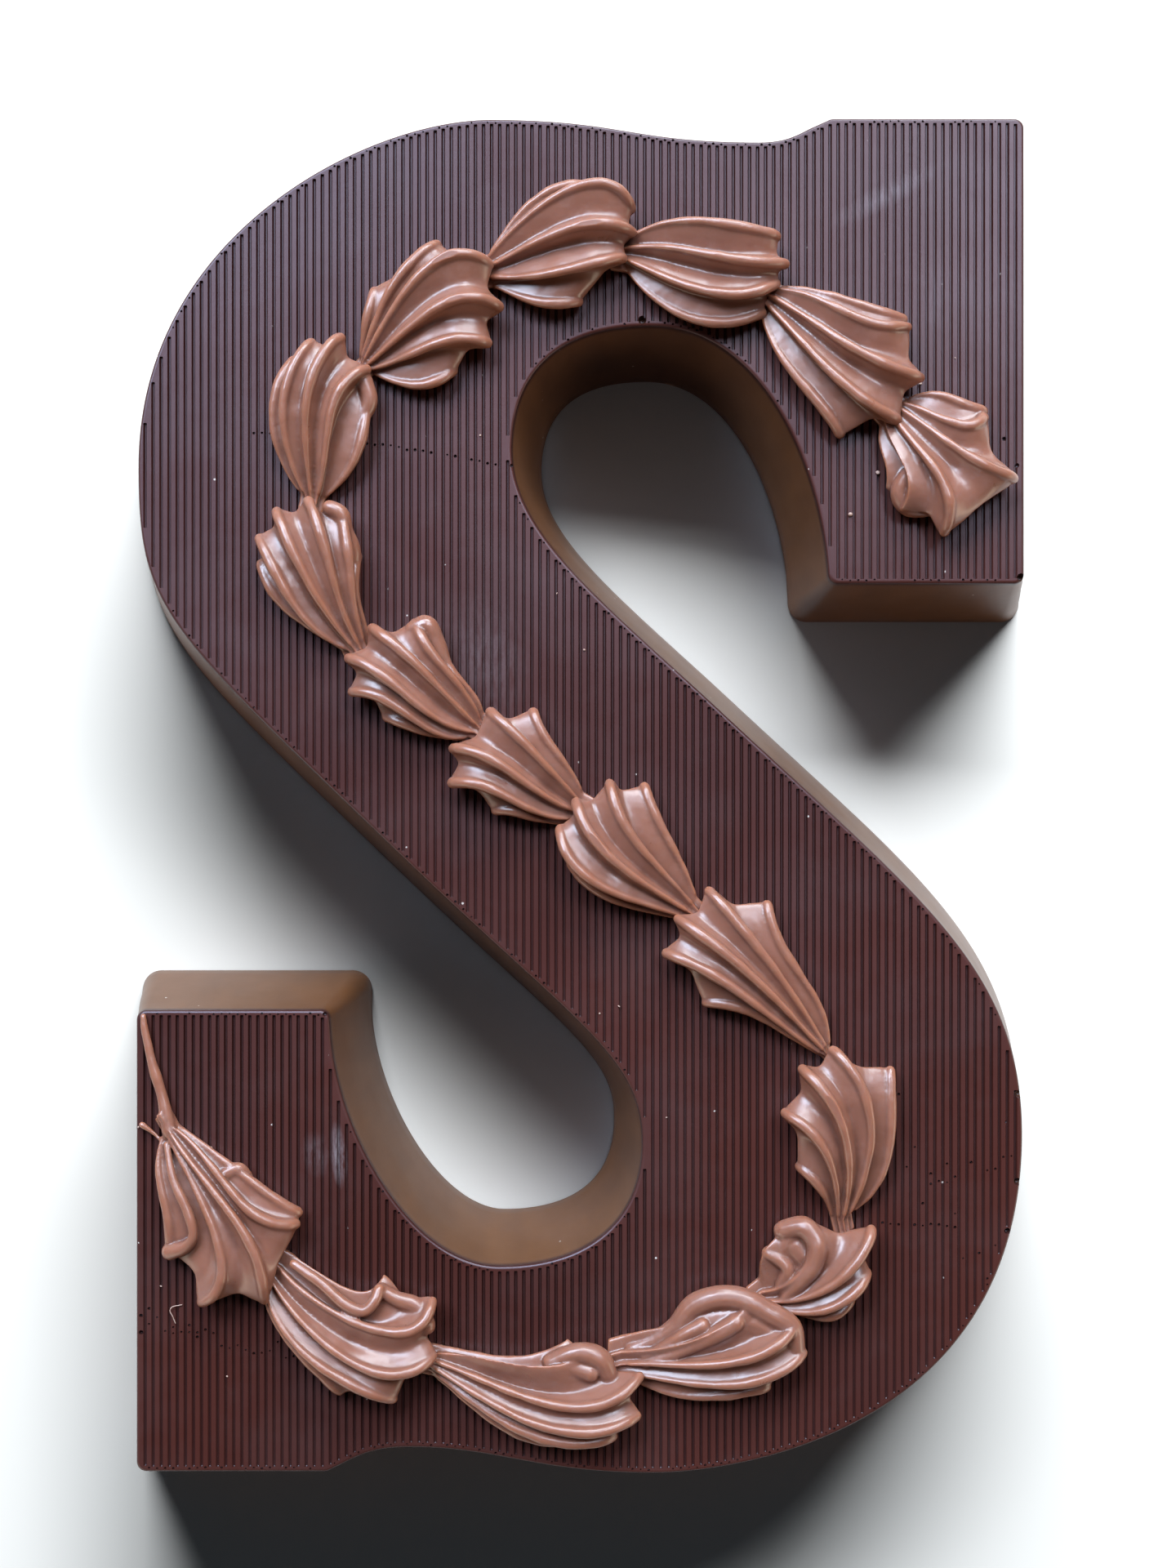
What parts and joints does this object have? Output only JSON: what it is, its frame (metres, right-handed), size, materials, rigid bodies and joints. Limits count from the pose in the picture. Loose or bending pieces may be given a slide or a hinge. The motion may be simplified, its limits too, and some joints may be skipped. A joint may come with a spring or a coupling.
{
  "type": "chocolate letter",
  "caption": "Moulded dark chocolate letter S with a ribbed face, sloping sides and a string of piped milk chocolate shells along its middle.",
  "frame": {"origin": "on the flat back, under the middle of the letter", "axes": "+Z out of the ribbed face, +Y to the top of the letter, +X to the reader's right"},
  "size_m": [0.1168, 0.1747, 0.0233],
  "materials": {
    "dark_chocolate": "satin dark chocolate, with the faint grey sheen of a mould-cast face",
    "milk_chocolate": "soft gloss of piped milk chocolate"
  },
  "bodies": {
    "root": {"letter": "dark_chocolate", "shell_01": "milk_chocolate", "shell_02": "milk_chocolate", "shell_03": "milk_chocolate", "shell_04": "milk_chocolate", "shell_05": "milk_chocolate", "shell_06": "milk_chocolate", "shell_07": "milk_chocolate", "shell_08": "milk_chocolate", "shell_09": "milk_chocolate", "shell_10": "milk_chocolate", "shell_11": "milk_chocolate", "shell_12": "milk_chocolate", "shell_13": "milk_chocolate", "shell_14": "milk_chocolate", "shell_15": "milk_chocolate", "shell_16": "milk_chocolate", "shell_17": "milk_chocolate"}
  },
  "joints": []
}
